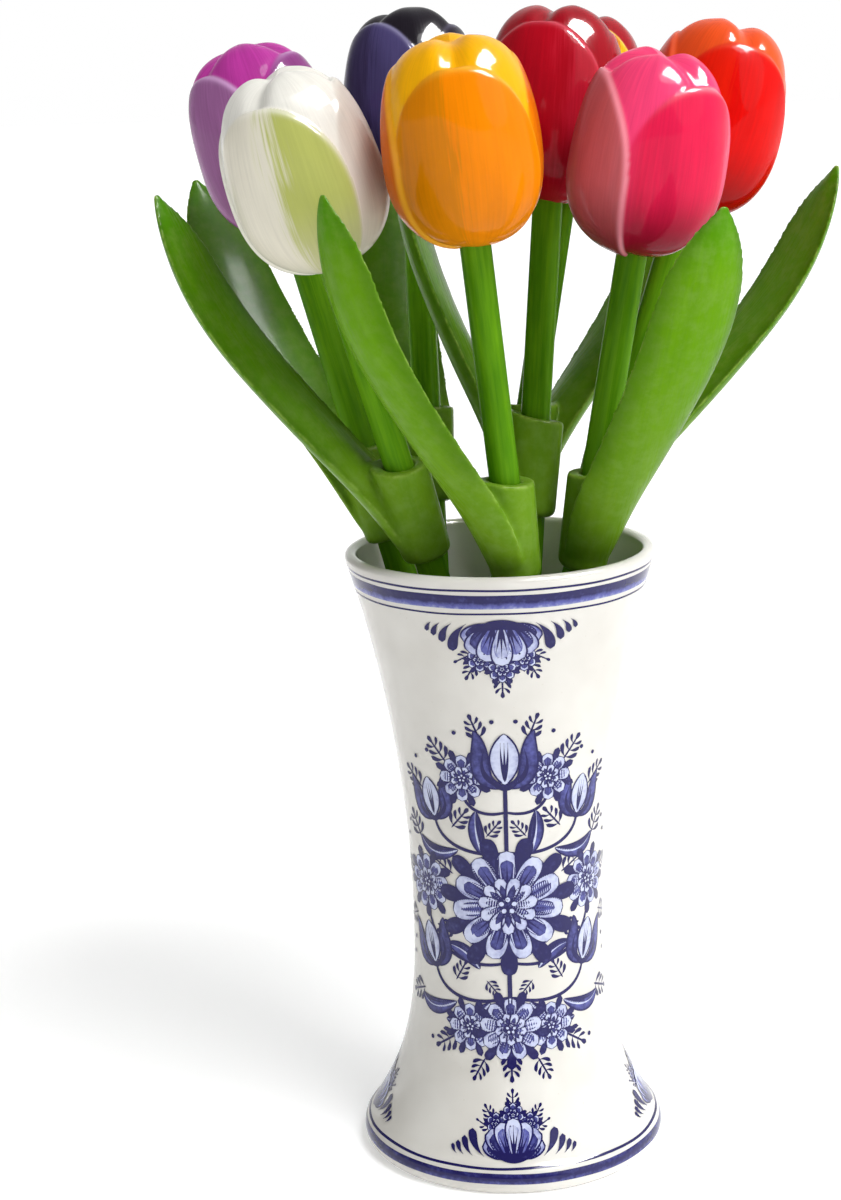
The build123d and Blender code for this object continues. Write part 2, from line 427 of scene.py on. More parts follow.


# Paints of the heads, as they show on a screen: petal A faces the given turn, B and C follow
# anticlockwise seen from above, and the brushed colour lies on petal A from one place across to another
# The foot colour is painted shade, strongest at the underside of each head.
HEAD_PAINTS = {
    "orange": dict(
        petal_a=(229, 126, 0), petal_b=(214, 104, 4), petal_c=(212, 98, 6), crown=(243, 174, 8),
        # On the orange head the brushed colour is a darker gold: partly a second brushed colour, partly
        # painted shade on the left of petal A.
        brushed=(198, 122, 4), brushed_from=-1.4, brushed_to=-0.05, brushed_amount=0.6,
        foot=(206, 122, 20), foot_amount=0.5, pale_edge=(255, 206, 70), edge_amount=0.55, contrast=0.14,
    ),
    "pink": dict(
        petal_a=(222, 30, 74), petal_b=(214, 44, 88), petal_c=(192, 90, 98), crown=(238, 66, 116),
        brushed=(240, 96, 136), brushed_from=0.35, brushed_to=1.4, brushed_amount=0.6,
        foot=(96, 6, 18), foot_amount=0.85, pale_edge=(244, 150, 165), edge_amount=0.8, contrast=0.16,
    ),
    "white": dict(
        # Petal B of the white head is greyer than A and C: painted shade on the same white.
        petal_a=(224, 219, 202), petal_b=(206, 198, 188), petal_c=(226, 222, 210), crown=(226, 224, 216),
        brushed=(160, 168, 50), brushed_from=0.0, brushed_to=1.25, brushed_amount=0.85,
        foot=(206, 198, 180), foot_amount=0.5, pale_edge=(240, 238, 228), edge_amount=0.6, contrast=0.12,
    ),
    "crimson": dict(
        petal_a=(176, 8, 30), petal_b=(160, 8, 28), petal_c=(150, 8, 30), crown=(154, 10, 28),
        brushed=(196, 40, 64), brushed_from=0.25, brushed_to=1.4, brushed_amount=0.45,
        foot=(112, 2, 14), foot_amount=0.55, pale_edge=(222, 92, 112), edge_amount=0.55, contrast=0.2,
    ),
    "purple": dict(
        petal_a=(150, 96, 146), petal_b=(132, 54, 124), petal_c=(126, 54, 122), crown=(178, 56, 150),
        brushed=(112, 18, 98), brushed_from=-0.85, brushed_to=-0.2, brushed_amount=0.75,
        foot=(120, 40, 104), foot_amount=0.5, pale_edge=(214, 170, 214), edge_amount=0.7, contrast=0.24,
    ),
    "dark": dict(
        petal_a=(62, 54, 92), petal_b=(28, 20, 36), petal_c=(44, 42, 70), crown=(30, 26, 34),
        brushed=(80, 74, 122), brushed_from=0.0, brushed_to=1.3, brushed_amount=0.6,
        foot=(34, 26, 60), foot_amount=0.5, pale_edge=(150, 146, 176), edge_amount=0.5, contrast=0.28,
    ),
    "red": dict(
        petal_a=(212, 8, 4), petal_b=(220, 36, 12), petal_c=(226, 62, 20), crown=(236, 84, 32),
        brushed=(230, 34, 6), brushed_from=-1.3, brushed_to=-0.1, brushed_amount=0.6,
        foot=(118, 4, 4), foot_amount=0.8, pale_edge=(250, 122, 80), edge_amount=0.55, contrast=0.16,
    ),
    "yellow": dict(
        petal_a=(240, 196, 20), petal_b=(236, 184, 16), petal_c=(238, 190, 18), crown=(158, 12, 28),
        brushed=(200, 52, 18), brushed_from=-0.75, brushed_to=0.6, brushed_amount=0.7,
        foot=(206, 150, 20), foot_amount=0.5, pale_edge=(255, 234, 120), edge_amount=0.5, contrast=0.2,
    ),
}


def head_paint(name, seed):
    """Lacquer of one head. The words of its paints are the names of the group's sockets."""
    material, make, shader = new_material(f"{name}_lacquer")
    brush = brushed_on(make, seed, fineness=1.3)
    sockets = {"Streak": brush["Streak"]}
    for letter in PETAL_LETTERS:
        sockets[f"Petal {letter} Mask"] = make.attribute(f"petal_{letter.lower()}")
    for layer in ("side", "rise", "edge"):
        sockets[layer.title()] = make.attribute(layer)
    for word, value in HEAD_PAINTS[name].items():
        is_color = isinstance(value, tuple)
        sockets[word.replace("_", " ").title()] = srgb(*value) if is_color else value
    paint = make.group(PETAL_PAINT, sockets)
    finish_lacquer(make, shader, paint["Color"], brush["Ridge"], **HEAD_LACQUER)
    return material


def leaf_paint():
    """Green lacquer of the leaves, brighter towards the tip, with painted shade in the hollow and
    towards the blade's edges, and painted highlights along the carved ridges.
    """
    material, make, shader = new_material("leaf_lacquer")
    brush = brushed_on(make, make.attribute("seed"), fineness=1.0)
    place = make.object_place()
    rise = make.attribute("rise")
    green = make.mix(make.band(rise, 0.1, 0.75), srgb(104, 142, 30), srgb(102, 154, 14))
    green = make.mix(make.band(rise, 0.82, 1.0), green, srgb(78, 142, 6))
    green = make.tint(green, brush["Streak"], 0.35, srgb(70, 120, 8))
    # Painted shade: a deeper green on the hollow inner face.
    green = make.tint(green, make.attribute("inner"), 0.35, srgb(58, 116, 8))
    haze = make.band(make.noise(place, 240.0, 5.0, 0.65), 0.36, 0.72)
    green = make.tint(green, haze, 0.32, srgb(128, 160, 76))
    # Painted shade: darker towards the blade's edges, so that its flat face looks rounded.
    green = make.tint(green, make.attribute("rim"), 0.55, srgb(56, 96, 10))
    sockets = {"Ridge": make.attribute("ridge"), "Place": place, "Amount": 0.75}
    # Painted highlight: a pale green along the convex ridges.
    green = make.mix(make.group(RIDGE_HIGHLIGHTS, sockets)["Mask"], green, srgb(178, 200, 104))
    finish_lacquer(make, shader, green, brush["Ridge"], **LEAF_LACQUER)
    return material


def stem_paint():
    """Green lacquer of the dowels, with streaks along them."""
    material, make, shader = new_material("stem_lacquer")
    brush = brushed_on(make, make.attribute("seed"), fineness=0.8)
    green = make.mix(brush["Streak"], srgb(70, 122, 12), srgb(98, 150, 20))
    green = make.mix(make.band(make.attribute("rise"), 0.02, 0.0), green, srgb(150, 132, 84))
    finish_lacquer(make, shader, green, brush["Ridge"], **STEM_LACQUER)
    return material


def finish_glaze(make, shader, color, cloud):
    """The clear glaze over the white and the painting, its gloss faintly uneven."""
    make.feed(shader, {
        "Base Color": color,
        "Roughness": make.between(cloud, *GLAZE_ROUGHNESS),
        "Specular IOR Level": GLAZE_SPECULAR,
        "Coat Weight": GLAZE_COAT,
        "Coat Roughness": GLAZE_COAT_ROUGHNESS,
    })


def glaze():
    """Cream-white tin glaze: glossy, faintly uneven in tone and in its surface."""
    material, make, shader = new_material("tin_glaze")
    place = make.object_place()
    cloud = make.noise(place, 28.0, 3.0)
    cream = make.mix(make.band(cloud, 0.3, 0.7), srgb(208, 205, 198), srgb(221, 219, 213))
    specks = make.band(make.noise(place, 900.0, 1.0), 0.74, 0.8)
    cream = make.tint(cream, specks, 0.25, srgb(188, 180, 164))
    finish_glaze(make, shader, cream, cloud)
    ripple = make.noise(place, 90.0, 2.0)
    make.feed(shader, {"Normal": make.bump(ripple, 0.08, GLAZE_RIPPLE_HEIGHT * MM)})
    return material


def cobalt():
    """Cobalt painted under the glaze: a wash that pools along the edges of each stroke."""
    material, make, shader = new_material("cobalt_under_glaze")
    place = make.object_place()
    grain = make.noise(place, 700.0, 3.0)
    cloud = make.noise(place, 160.0, 2.0)
    uneven = make.math("MULTIPLY_ADD", make.math("SUBTRACT", grain, 0.5), 0.5, make.attribute("tone"))
    uneven = make.math("MULTIPLY_ADD", make.math("SUBTRACT", cloud, 0.5), 0.35, uneven)
    edge = make.math("POWER", make.math("ABSOLUTE", make.attribute("across")), 3.0)
    depth = make.math("ADD", uneven, make.times(edge, 0.16))
    blue = make.mix(make.band(depth, 0.0, 0.55), srgb(198, 204, 228), srgb(86, 90, 162))
    blue = make.mix(make.band(depth, 0.45, 0.95), blue, srgb(26, 22, 82))
    finish_glaze(make, shader, blue, cloud)
    return material


# Vase


def outer_radius(height):
    """Radius of the vase's outer face at a height: rounded toe, skirt, waist and trumpet."""
    height = np.asarray(height, float)
    above = np.clip((height - WAIST_HEIGHT) / (VASE_HEIGHT - WAIST_HEIGHT), 0, 1)
    below = np.clip((WAIST_HEIGHT - height) / (WAIST_HEIGHT - TOE_HEIGHT), 0, 1)
    trumpet = (RIM_RADIUS - WAIST_RADIUS) * above**TRUMPET_POWER
    skirt = (FOOT_RADIUS - WAIST_RADIUS) * below**SKIRT_POWER
    bulge = TOE_RADIUS - FOOT_RADIUS
    toe_radius = (bulge**2 + (TOE_HEIGHT / 2) ** 2) / (2 * bulge)
    off_middle = np.clip(height, 0, TOE_HEIGHT) - TOE_HEIGHT / 2
    toe = TOE_RADIUS - toe_radius + np.sqrt(toe_radius**2 - off_middle**2)
    return np.where(height < TOE_HEIGHT, toe, WAIST_RADIUS + trumpet + skirt)


def vase_profile():
    """Half outline of the vase from the middle of its underside, round the lip, to its floor."""
    lip_height = VASE_HEIGHT - LIP_ROUND
    lip_middle = float(outer_radius(lip_height)) - WALL / 2
    corner_height = FLOOR_TOP + FLOOR_CORNER
    corner_middle = float(outer_radius(corner_height)) - WALL - FLOOR_CORNER
    ring_inside = FOOT_RADIUS - FOOT_RING_WIDTH
    under = [
        (12, FOOT_RECESS), (24, FOOT_RECESS), (ring_inside - FOOT_RECESS, FOOT_RECESS),
        (ring_inside - 0.3, 0.2), (ring_inside, 0), (FOOT_RADIUS - 0.4, 0),
    ]
    toe = np.linspace(0.1, TOE_HEIGHT, TOE_ROWS)
    outside = np.concatenate([toe, np.linspace(TOE_HEIGHT + 1, lip_height, WALL_ROWS)])
    sweep = np.linspace(0, math.pi, LIP_ROWS)[1:-1]
    inside = np.linspace(lip_height, corner_height, INSIDE_ROWS)
    bend = np.linspace(0, math.pi / 2, CORNER_ROWS)[1:]
    return np.concatenate([
        under,
        np.column_stack([outer_radius(outside), outside]),
        np.column_stack([
            lip_middle + WALL / 2 * np.cos(sweep),
            lip_height + LIP_ROUND * np.sin(sweep),
        ]),
        np.column_stack([outer_radius(inside) - WALL, inside]),
        np.column_stack([
            corner_middle + FLOOR_CORNER * np.cos(bend),
            FLOOR_TOP + FLOOR_CORNER * (1 - np.sin(bend)),
        ]),
        [(20, FLOOR_TOP), (8, FLOOR_TOP)],
    ])


def make_vase():
    """The vase as one turned shell."""
    profile = vase_profile()
    turn = np.arange(VASE_COLUMNS) * 2 * math.pi / VASE_COLUMNS
    rings = turned(profile[:, :1], turn, profile[:, 1:]).reshape(-1, 3)
    points = np.concatenate([[(0, 0, FOOT_RECESS)], rings, [(0, 0, FLOOR_TOP)]])
    vase = new_piece("vase_body", points, turned_faces(len(profile), VASE_COLUMNS), {}, glaze())
    settle(vase, "vase", "glaze", "vase")


# Painting on the vase: every mark is a brush stroke, and each kind has its own swell and taper

COMMA = (0.45, 1.5)
DROP = (1.3, 0.5)
LEAF = (0.8, 0.8)
PETAL = (0.9, 0.4)
LINE = (0.1, 0.1)
DOT = (0.5, 0.5)
OUTLINE = 0.27
BRUSH_POINT = 0.05
POINTS_PER_MM = 1.5
FEWEST_POINTS = 7
MOST_POINTS = 24
HEART_DOTS = 5
PAINT_LOW = 0.04
PAINT_HIGH = 0.26
BAND_STEPS = 240
BAND_COLUMNS = 7
BROAD_MARK = 0.5
BROAD_COLUMNS = (-1.0, -0.6, 0.0, 0.6, 1.0)
FINE_COLUMNS = (-1.0, 0.0, 1.0)


class Stroke:
    """One brush mark in the flat: a path, its half widths and its tone from 0 to 1."""

    def __init__(self, path, half_widths, tone):
        self.path = np.asarray(path, float)
        self.half_widths = np.asarray(half_widths, float)
        self.tone = tone

    def sides(self):
        """Unit vectors to the left of the path."""
        run = np.gradient(self.path, axis=0)
        run /= np.linalg.norm(run, axis=1, keepdims=True) + 1e-9
        return np.stack([-run[:, 1], run[:, 0]], axis=1)

    def moved(self, place, turn=0.0, mirror=False):
        """The same mark mirrored left to right, turned by degrees about the origin and moved."""
        path = self.path * ((-1, 1) if mirror else (1, 1))
        angle = math.radians(turn)
        spin = np.array([[math.cos(angle), -math.sin(angle)], [math.sin(angle), math.cos(angle)]])
        return Stroke(path @ spin.T + np.asarray(place, float), self.half_widths, self.tone)


def stroke(controls, half_width, shape=LEAF, tone=0.95):
    """A mark along a Bezier path. Its shape gives how fast it swells and how fast it tapers."""
    reach = np.linalg.norm(np.diff(np.asarray(controls, float), axis=0), axis=1).sum()
    count = int(np.clip(POINTS_PER_MM * reach, FEWEST_POINTS, MOST_POINTS))
    shares = np.linspace(0, 1, count)
    swell, taper = shape
    width = shares**swell * (1 - shares) ** taper
    half_widths = np.maximum(half_width * width / width.max(), BRUSH_POINT)
    return Stroke(bezier(controls, shares), half_widths, tone)


def outlined(mark):
    """A washed mark with a dark line along both its edges."""
    reach = mark.sides() * mark.half_widths[:, None]
    line = np.full(len(mark.path), OUTLINE)
    line[[0, -1]] = OUTLINE / 2
    return [mark, *(Stroke(mark.path + side * reach, line, 1.0) for side in (1, -1))]


def mirrored(marks):
    """Marks together with their mirror images."""
    return [*marks, *(mark.moved((0, 0), mirror=True) for mark in marks)]


def fan(marks, turns):
    """Copies of marks turned about the origin."""
    return [mark.moved((0, 0), turn) for turn in turns for mark in marks]


def placed(marks, place, turn=0.0):
    """A motif moved to its place."""
    return [mark.moved(place, turn) for mark in marks]


def sized(unit, *points):
    """Points of a path, given as shares of a unit."""
    return np.array(points, float) * unit


def veined_petal(length, half_width, rim=0.1, root=0.68):
    """One petal pointing up from the origin: pale rim, outline, dark root and veins."""
    marks = outlined(stroke(sized(length, (0, 0.08), (0, 1)), half_width, PETAL, rim))
    marks.append(stroke(sized(length, (0, 0.04), (0, 0.84)), 0.72 * half_width, PETAL, root))
    for lean in (-0.5, 0, 0.5):
        tip = (lean * half_width * 1.1, length * (0.84 - 0.22 * abs(lean)))
        bend = (lean * half_width * 0.5, length * 0.4)
        marks.append(stroke([(0, 0.1 * length), bend, tip], 0.032 * length, COMMA, 1.0))
    return marks


def rosette(radius, petals):
    """A round flower: a ring of veined petals, a smaller pale ring and a dark heart with pale dots."""
    turns = np.arange(petals) * 360 / petals
    between = turns + 180 / petals
    leaf = stroke(sized(radius, (0, 0.5), (0, 1.28)), 0.15 * radius, DROP, 0.92)
    inner = outlined(stroke(sized(radius, (0, 0), (0, 0.52)), radius * 1.3 / petals, PETAL, 0.12))
    inner.append(stroke(sized(radius, (0, 0), (0, 0.4)), radius * 0.7 / petals, LEAF, 0.8))
    heart = stroke(sized(radius, (0, -0.2), (0, 0.2)), radius * 0.2, DOT, 1.0)
    dot = stroke(sized(radius, (0, 0.07), (0, 0.16)), radius * 0.04, DOT, 0.0)
    return [
        *fan([leaf], between),
        *fan(veined_petal(radius, radius * 2.1 / petals), turns),
        *fan(inner, between),
        heart,
        *fan([dot], np.arange(HEART_DOTS) * 360 / HEART_DOTS),
    ]


def tulip_mark(height):
    """A tulip in side view, its root at the origin: dark outer petals round a pale middle one."""
    petal = sized(height, (0, 0), (0.62, 0.1), (0.28, 0.6), (0.5, 1))
    shade = sized(height, (0.05, 0.05), (0.52, 0.15), (0.3, 0.75))
    outer = outlined(stroke(petal, 0.15 * height, LEAF, 0.72))
    outer.append(stroke(shade, 0.05 * height, COMMA, 1.0))
    middle = outlined(stroke(sized(height, (0, 0.05), (0, 0.95)), 0.24 * height, LEAF, 0.08))
    for side in (-1, 0, 1):
        vein = sized(height, (0, 0.1), (0.07 * side, 0.5), (0.06 * side, 0.8))
        middle.append(stroke(vein, 0.024 * height, COMMA))
    cup = stroke(sized(height, (-0.22, 0.1), (0, -0.1), (0.22, 0.1)), 0.06 * height)
    return [*middle, *mirrored(outer), cup]


def spray(length, pairs=3):
    """A feathery sprig pointing up from the origin: pairs of drops and one at its tip."""
    marks = [stroke([(0, 0), (0, 0.85 * length)], 0.022 * length + 0.1, LINE)]
    for pair in range(pairs):
        root = (0, length * (0.12 + 0.24 * pair))
        size = length * (0.42 - 0.06 * pair)
        bend = (0.6 * size, root[1] + 0.15 * size)
        marks += mirrored([stroke([root, bend, (0.8 * size, root[1] + 0.75 * size)], 0.17 * size, DROP)])
    return [*marks, stroke([(0, 0.68 * length), (0, length)], 0.075 * length, DROP)]


def sprig_leaf(controls, half_width):
    """A leaf with a dark outline, a darker half and a midrib."""
    marks = outlined(stroke(controls, half_width, LEAF, 0.7))
    shade = marks[0].moved((0, 0))
    shade.path = shade.path + shade.sides() * shade.half_widths[:, None] * 0.5
    shade.half_widths = shade.half_widths * 0.45
    shade.tone = 0.92
    return [*marks, shade, stroke(controls, 0.1 * half_width + 0.12, COMMA, 0.1)]


def comma_row(start, count, length, rise):
    """A row of commas that grow smaller outwards, their tips in line, pointing up (1) or down (-1)."""
    marks = []
    for place in range(count):
        size = length * 0.7**place
        x = start[0] + (0.4 - 0.03 * place) * place * length
        round_end = (x, start[1] - rise * size)
        bend = (x + 0.08 * size, start[1] - rise * 0.4 * size)
        marks.append(stroke([round_end, bend, (x - 0.48 * size, start[1])], 0.15 * size + 0.3, COMMA))
    return marks


# Petals of a shell from the outside in: foot off the middle, turn, length, half width, two tones
SHELL_PETALS = (
    (0.32, 42, 0.64, 0.22, 0.3, 0.85),
    (0.25, 27, 0.80, 0.25, 0.2, 0.75),
    (0.13, 13, 0.90, 0.24, 0.1, 0.45),
    (0, 0, 0.98, 0.22, 0.04, 0.16),
)


def shell(drop):
    """A shell of petals standing on the origin, with small flowers and sprigs along its outer edge."""
    marks = placed(spray(0.6 * drop), (0, 1.12 * drop))
    for side in (-1, 1):
        marks += placed(spray(0.55 * drop), (side * 0.5 * drop, 0.84 * drop), -side * 30)
        marks += placed(spray(0.45 * drop, 2), (side * 0.62 * drop, 0.72 * drop), -side * 62)
        marks += placed(rosette(0.27 * drop, 6), (side * 0.46 * drop, 0.84 * drop))
    marks += placed(rosette(0.3 * drop, 7), (0, 1.06 * drop))
    for foot, turn, length, half_width, rim, root in SHELL_PETALS:
        for side in (-1, 1) if turn else (1,):
            petal = veined_petal(length * drop, half_width * drop, rim, root)
            marks += placed(petal, (-side * foot * drop, 0), side * turn)
    dome = sized(drop, (-0.57, 0.24), (-0.3, 0), (0.3, 0), (0.57, 0.24))
    return [*marks, stroke(dome, 0.11 * drop, LEAF, 1.0)]


def pendant():
    """A shell of petals hanging from the origin, with commas on both sides."""
    commas = comma_row((14.2, -0.6), count=4, length=8.7, rise=1)
    return [*placed(shell(PENDANT_DROP), (0, 0), 180), *mirrored(commas)]


def palmette():
    """A shell of petals standing on the origin, with commas on both sides."""
    commas = comma_row((12.4, 0.9), count=4, length=7.0, rise=-1)
    return [*shell(PALMETTE_RISE), *mirrored(commas)]


def flower_tree():
    """A folk flower tree: rosettes up the middle, tulips and small flowers on curling branches."""
    half = [
        stroke([(0, -29), (12, -33), (24, -30), (25, -21)], 0.55, LINE),
        stroke([(0, -18), (14, -22), (29, -14), (28, 0)], 0.55, LINE),
        stroke([(0, 17), (11, 15), (23, 19), (23, 27)], 0.55, LINE),
        stroke([(0, 30), (7, 28), (13, 31), (13, 37)], 0.5, LINE),
    ]
    for place, turn, size in (
        ((30, 18), -30, 10), ((36, 6), -80, 8), ((35, -8), -112, 9), ((31, -31), -112, 10),
        ((28, 35), -52, 10), ((18, 45), -40, 10), ((7, 53), -22, 9), ((17, -42), -122, 10),
        ((8, -48), -150, 8), ((17, 9), -62, 9), ((17, -8), -112, 8), ((17, 24), 40, 9),
        ((17, -25), 30, 8), ((6, 22), 40, 7), ((7, -24), 140, 6),
    ):
        half += placed(spray(size), place, turn)
    half += sprig_leaf([(6, -31), (12, -39), (21, -38)], 2.6)
    half += sprig_leaf([(17, -32), (27, -38), (32, -33)], 2.2)
    half += sprig_leaf([(9, -20.5), (13, -14), (20, -14)], 2.2)
    half += sprig_leaf([(7, 16), (10, 23), (9, 30)], 2.2)
    half += sprig_leaf([(15, 17), (25, 12), (30, 19)], 2.2)
    half += placed(tulip_mark(14.5), (25, -22), -14)
    half += placed(rosette(9.0, 9), (28, 4))
    half += placed(tulip_mark(14), (23, 26), -12)
    half += placed(rosette(7.4, 8), (13, 40.5))
    half += placed(rosette(7.2, 8), (12.6, -39))
    for x, y in (
        (37, 22), (39, 17), (30, 45), (25, 48), (15, 55), (38, -17), (39, -22), (27, -45), (3.5, 59),
    ):
        half.append(stroke([(x, y - 0.7), (x, y + 0.7)], 0.7, DOT))
    middle = [stroke([(0, -44), (0, -14)], 0.7, LINE), stroke([(0, 12), (0, 42)], 0.65, LINE)]
    middle += placed(spray(9), (0, -46), 180)
    middle += placed(rosette(9.6, 9), (0, -39))
    middle += placed(rosette(17.5, 11), (0, 0))
    middle += placed(tulip_mark(18), (0, 38))
    return [*mirrored(half), *middle]


def strip_faces(start, rows, columns, closed=False):
    """Quads of a strip of points, numbered from its start. A closed strip runs on into its first row."""
    faces = []
    for row in range(rows if closed else rows - 1):
        for column in range(columns - 1):
            near = start + row * columns + column
            far = start + (row + 1) % rows * columns + column
            faces.append((near, far, far + 1, near + 1))
    return faces


def on_vase(marks, angle, height):
    """Lay flat marks on the vase, each a little over the one before: points, faces and layers."""
    points, faces, tones, across = [], [], [], []
    for order, mark in enumerate(marks):
        columns = BROAD_COLUMNS if mark.half_widths.max() > BROAD_MARK else FINE_COLUMNS
        faces += strip_faces(len(points), len(mark.path), len(columns))
        reach = np.outer(mark.half_widths, columns)
        flat = mark.path[:, None] + reach[..., None] * mark.sides()[:, None]
        level = height + flat[..., 1]
        wall = outer_radius(level)
        turn = math.radians(angle) + flat[..., 0] / wall
        proud = PAINT_LOW + (PAINT_HIGH - PAINT_LOW) * order / len(marks)
        points += turned(wall + proud, turn, level).reshape(-1, 3).tolist()
        tones += [mark.tone] * reach.size
        across += columns * len(mark.path)
    return points, faces, {"tone": tones, "across": across}


def painted_band(low, high, *band_tones):
    """A band round the vase between two heights, its tones from below upwards, with edges that waver."""
    turn = np.arange(BAND_STEPS)[:, None] * 2 * math.pi / BAND_STEPS
    waver = 0.07 * np.sin(5 * turn + low) + 0.05 * np.sin(11 * turn + round(2 * high))
    columns = np.linspace(-1, 1, BAND_COLUMNS)
    level = (low + high) / 2 + columns * (high - low) / 2 + waver
    points = turned(outer_radius(level) + PAINT_LOW, turn, level).reshape(-1, 3)
    tones = np.interp(columns, (-1, 0, 1), band_tones)
    layers = {"tone": np.tile(tones, BAND_STEPS), "across": np.tile(columns, BAND_STEPS)}
    return points, strip_faces(0, BAND_STEPS, BAND_COLUMNS, closed=True), layers


FRONT = -90.0

# Bands: lower and upper height, then the tone at the lower edge, the middle and the upper edge
PAINTED_BANDS = (
    (185.9, 186.6, 1.0, 1.0, 1.0),
    (180.6, 184.8, 0.2, 0.95, 0.9),
    (178.7, 179.3, 1.0, 1.0, 1.0),
    (8.0, 8.6, 1.0, 1.0, 1.0),
    (3.9, 7.0, 0.6, 1.0, 0.7),
)
PENDANT_HEIGHT = 176.6
PENDANT_DROP = 14.0
PENDANT_COUNT = 2
TREE_HEIGHT = 86.0
TREE_COUNT = 2
PALMETTE_HEIGHT = 10.2
PALMETTE_RISE = 11.2
PALMETTE_COUNT = 4


def new_geometry_tree(name, **inputs):
    """An empty geometry tree that takes its own inputs and a paint: helper, inputs and output node."""
    geometry = {"Geometry": "NodeSocketGeometry"}
    inputs = {**geometry, **inputs, "Paint": "NodeSocketMaterial"}
    return new_group(name, inputs, geometry, "GeometryNodeTree")


def finish_tree(make, given, out, shaped):
    """End a geometry tree: real geometry in its paint."""
    real = make.add("GeometryNodeRealizeInstances", {"Geometry": shaped.outputs[0]})
    sockets = {"Geometry": real.outputs[0], "Material": given["Paint"]}
    make.feed(out, {0: make.add("GeometryNodeSetMaterial", sockets).outputs[0]})
    return make.tree


def ring_copies_tree():
    """Geometry nodes that repeat a motif evenly round the vase's axis."""
    make, given, out = new_geometry_tree("ring_copies", Count="NodeSocketInt")
    points = make.add("GeometryNodePoints", {"Count": given["Count"]})
    step = make.math("DIVIDE", 2 * math.pi, given["Count"])
    turn = make.times(make.add("GeometryNodeInputIndex").outputs[0], step)
    copies = make.add("GeometryNodeInstanceOnPoints", {
        "Points": points.outputs[0],
        "Instance": given["Geometry"],
        "Rotation": make.vector(0.0, 0.0, turn),
    })
    return finish_tree(make, given, out, copies)


def apply_nodes(piece, tree, **values):
    """Run a node tree on an object with its named inputs set, and keep the result as a plain mesh."""
    modifier = piece.modifiers.new(tree.name, "NODES")
    modifier.node_group = tree
    for socket in tree.interface.items_tree:
        if socket.in_out == "INPUT" and socket.name in values:
            modifier[socket.identifier] = values[socket.name]
    bpy.context.view_layer.update()
    made = evaluated_mesh(piece)
    piece.modifiers.remove(modifier)
    piece.data = made


def make_painting():
    """The cobalt decoration of the vase."""
    blue = cobalt()
    for number, band in enumerate(PAINTED_BANDS, 1):
        settle(new_piece(f"painted_band_{number}", *painted_band(*band), blue), "vase", "glaze")
    tree = ring_copies_tree()
    motifs = (
        ("painted_flower_tree", flower_tree(), TREE_HEIGHT, TREE_COUNT),
        ("painted_pendants", pendant(), PENDANT_HEIGHT, PENDANT_COUNT),
        ("painted_palmettes", palmette(), PALMETTE_HEIGHT, PALMETTE_COUNT),
    )
    for name, marks, height, count in motifs:
        piece = new_piece(name, *on_vase(marks, FRONT, height), blue)
        apply_nodes(piece, tree, Count=count, Paint=blue)
        settle(piece, "vase", "glaze")


# Tulips


def node_points(name):
    """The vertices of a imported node, in mm."""
    return mesh_array(frame["nodes"][name].data.vertices, "co", 3) / MM


def upright(axis, facing):
    """Rotation whose third column is the axis and whose first column lies towards the facing way."""
    across = facing - axis * facing.dot(axis)
    across = across / np.linalg.norm(across)
    return np.stack([across, np.cross(axis, across), axis], axis=1)


class Stand:
    """How one tulip stands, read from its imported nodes: stem foot, axis, leaf seat and head seat."""

    def __init__(self, name):
        joint = next(joint for joint in frame["joints"] if joint["name"] == f"{name}_lift")
        self.axis = np.array(joint["axis"]) / np.linalg.norm(joint["axis"])
        frame_turn = upright(self.axis, np.array([1.0, 0.0, 0.0]))
        parts = ("stem", "leaf", "head")
        stem, leaf, head = (node_points(f"{name}_{part}") @ frame_turn for part in parts)
        middle = (stem.min(0) + stem.max(0)) / 2
        stem_low, leaf_low, head_low = (points[:, 2].min() for points in (stem, leaf, head))
        self.length = stem[:, 2].max() - stem_low
        self.foot = frame_turn @ np.array([middle[0], middle[1], stem_low])
        self.leaf_seat = self.foot + self.axis * (leaf_low - stem_low)
        self.head_seat = self.foot + self.axis * (head_low - stem_low)
        tip = leaf[leaf[:, 2] > leaf[:, 2].max() - 1.0].mean(0)
        to_tip = np.array([tip[0] - middle[0], tip[1] - middle[1], 0.0])
        self.leaf_turn = upright(self.axis, frame_turn @ to_tip)
        turn = math.radians(PETAL_TURN[name])
        self.head_turn = upright(self.axis, np.array([math.cos(turn), math.sin(turn), 0.0]))


def head_profile():
    """Half outline of a bulb, from the middle of its underside to the middle of its crown."""
    curves = (
        ((0, 0), (UNDERSIDE_RADIUS, 0)),
        ((UNDERSIDE_RADIUS, 0), (16.7, 2.6), (BULB_RADIUS, 11), (BULB_RADIUS, BELLY_HEIGHT)),
        ((BULB_RADIUS, BELLY_HEIGHT), (BULB_RADIUS, 34.5), (19.4, 43.0), (CROWN_RADIUS, CROWN_HEIGHT)),
        ((CROWN_RADIUS, CROWN_HEIGHT), (13.4, 53.3), (8.5, HEAD_LENGTH), (0, HEAD_LENGTH)),
    )
    line = np.concatenate([bezier(curve, np.linspace(0, 1, 60)) for curve in curves])
    return evenly(line, HEAD_ROWS + 2)


def wrapped(angle):
    """An angle brought between minus and plus half a turn."""
    return (angle + math.pi) % (2 * math.pi) - math.pi


def softened(values):
    """Values on the rows and columns of a head, each averaged with its neighbours."""
    around = (np.roll(values, 1, 1) + 2 * values + np.roll(values, -1, 1)) / 4
    padded = np.pad(around, ((1, 1), (0, 0)), "edge")
    return (padded[:-2] + 2 * padded[1:-1] + padded[2:]) / 4


